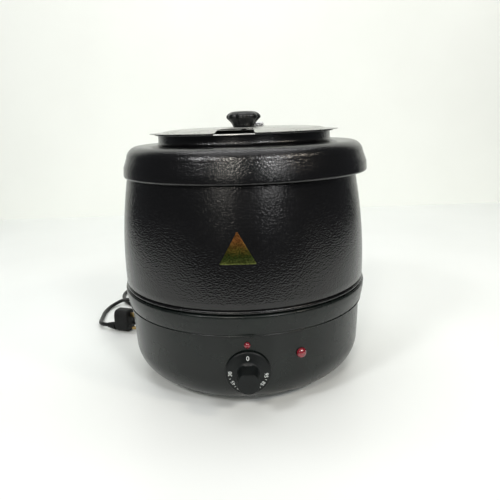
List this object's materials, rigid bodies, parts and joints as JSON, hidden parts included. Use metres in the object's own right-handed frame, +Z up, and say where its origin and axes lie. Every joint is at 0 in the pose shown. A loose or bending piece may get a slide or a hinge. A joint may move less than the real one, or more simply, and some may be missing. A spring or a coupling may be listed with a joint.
{
  "type": "soup kettle",
  "caption": "Wet-heat soup kettle with a barrel-shaped shell, lift-out pot, hinged lid with a ladle notch, and a thermostat dial.",
  "frame": {"origin": "on the surface it stands on, under the middle of the kettle's outline without its lead", "axes": "+Z up, the dial faces -Y, +X to the right as seen from the front"},
  "size_m": [0.4588, 0.559, 0.374],
  "materials": {
    "hammered_black": "hammered powder coat",
    "smooth_black": "semi-gloss enamel",
    "stainless": "polished stainless steel",
    "plated_steel": "bright zinc plate",
    "phenolic": "moulded phenolic",
    "dial_plastic": "moulded",
    "red_lens": "clear red moulding",
    "rubber": "matt",
    "cord_jacket": "satin jacket",
    "brass": "bright",
    "foil": "printed foil",
    "white_nylon": "moulded"
  },
  "bodies": {
    "kettle": {"base_band": "smooth_black", "base_bowl": "smooth_black", "bottom_plate": "plated_steel", "capillary_bulb": "brass", "capillary_tube": "brass", "clamp_nut": "plated_steel", "clamp_stud": "plated_steel", "element_clamp": "plated_steel", "foil_label": "foil", "foot_left": "rubber", "foot_rear": "rubber", "foot_right": "rubber", "foot_screw_left": "plated_steel", "foot_screw_rear": "plated_steel", "foot_screw_right": "plated_steel", "heating_element": "plated_steel", "index_lamp_body": "white_nylon", "index_lens": "red_lens", "lead_tie": "rubber", "outer_shell": "hammered_black", "pilot_lamp_body": "white_nylon", "pilot_lens": "red_lens", "plug_body": "rubber", "plug_boot": "rubber", "plug_pin_earth": "brass", "plug_pin_live": "brass", "plug_pin_neutral": "brass", "power_lead_coil": "cord_jacket", "power_lead_inner": "cord_jacket", "power_lead_outer": "cord_jacket", "strain_relief": "rubber", "terminal_block": "white_nylon", "thermal_cutout": "white_nylon", "thermostat_body": "white_nylon", "thermostat_bracket": "plated_steel", "thermostat_screw_left": "plated_steel", "thermostat_screw_right": "plated_steel", "top_ring": "hammered_black", "water_tub": "stainless"},
    "pot": {"soup_pot": "stainless"},
    "lid": {"lid_rear": "stainless", "hinge_leaf_rear": "plated_steel", "hinge_pin": "plated_steel", "hinge_rivet_rear_left": "stainless", "hinge_rivet_rear_right": "stainless"},
    "flap": {"lid_flap": "stainless", "hinge_leaf_front": "plated_steel", "hinge_rivet_front_left": "stainless", "hinge_rivet_front_right": "stainless", "lid_knob": "phenolic", "knob_washer": "plated_steel", "knob_screw": "plated_steel"},
    "dial": {"thermostat_dial": "dial_plastic", "thermostat_spindle": "plated_steel"}
  },
  "joints": [
    {"name": "pot_lift", "type": "slide", "parent": "kettle", "child": "pot", "axis": [0, 0, 1], "range_m": [0, 0.27]},
    {"name": "lid_lift", "type": "slide", "parent": "pot", "child": "lid", "axis": [0, 0, 1], "range_m": [0, 0.1]},
    {"name": "flap_hinge", "type": "hinge", "parent": "lid", "child": "flap", "pos_m": [0.00914, 0.04054, 0.3554], "axis": [-0.9945, 0.1045, 0], "range_deg": [0, 105]},
    {"name": "dial_turn", "type": "hinge", "parent": "kettle", "child": "dial", "pos_m": [0, -0.1558, 0.0585], "axis": [0, 1, 0], "range_deg": [0, 270]}
  ]
}
